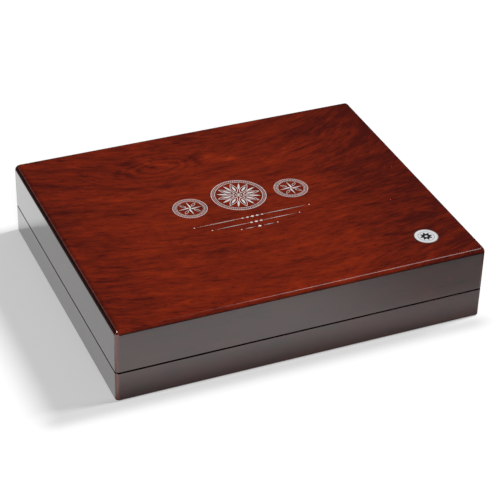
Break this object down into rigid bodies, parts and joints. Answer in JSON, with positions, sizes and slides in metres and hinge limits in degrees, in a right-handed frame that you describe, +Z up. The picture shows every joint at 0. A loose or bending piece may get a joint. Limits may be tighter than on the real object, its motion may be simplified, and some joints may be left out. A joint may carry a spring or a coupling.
{
  "type": "coin case",
  "caption": "Flat lacquered wooden coin case: a hinged padded lid over stacked lift-out trays with round velour recesses for coins in capsules.",
  "frame": {"origin": "middle of the underside, on the surface that the case stands on", "axes": "+X along the front edge to the right, +Y from front to back, +Z up"},
  "size_m": [0.305, 0.25, 0.0652],
  "materials": {
    "mahogany": "high-gloss lacquer over stained mahogany",
    "tray_wood": "satin lacquer",
    "plywood": "bare plywood",
    "velour": "short-pile velour",
    "felt": "felt",
    "satin": "padded satin",
    "ribbon": "satin ribbon",
    "brass": "polished",
    "magnet": "nickel plated",
    "badge": "bright silver"
  },
  "bodies": {
    "base": {"base_front_board": "mahogany", "base_back_board": "mahogany", "base_left_board": "mahogany", "base_right_board": "mahogany", "base_bottom_panel": "plywood", "base_felt": "felt", "base_floor_lining": "velour", "base_magnets": "magnet", "base_front_liner": "velour", "base_back_liner": "velour", "base_left_liner": "velour", "base_right_liner": "velour", "tray_1_rim": "tray_wood", "tray_1_floor": "plywood", "tray_1_insert": "velour", "tray_1_ribbons": "ribbon", "tray_2_rim": "tray_wood", "tray_2_floor": "plywood", "tray_2_insert": "velour", "tray_2_ribbons": "ribbon", "tray_3_rim": "tray_wood", "tray_3_floor": "plywood", "tray_3_insert": "velour", "tray_3_ribbons": "ribbon", "left_hinge_pin": "brass", "left_hinge_base_leaf": "brass", "left_hinge_base_screws": "brass", "right_hinge_pin": "brass", "right_hinge_base_leaf": "brass", "right_hinge_base_screws": "brass"},
    "lid": {"lid_front_board": "mahogany", "lid_back_board": "mahogany", "lid_left_board": "mahogany", "lid_right_board": "mahogany", "lid_top_panel": "mahogany", "lid_badge": "badge", "lid_pad": "satin", "lid_magnets": "magnet", "lid_front_lining": "velour", "lid_back_lining": "velour", "lid_left_lining": "velour", "lid_right_lining": "velour", "left_hinge_lid_leaf": "brass", "left_hinge_lid_screws": "brass", "right_hinge_lid_leaf": "brass", "right_hinge_lid_screws": "brass"}
  },
  "joints": [
    {"name": "lid_hinge", "type": "hinge", "parent": "base", "child": "lid", "pos_m": [0, 0.1222, 0.026], "axis": [-1, 0, 0], "range_deg": [0, 100]}
  ]
}
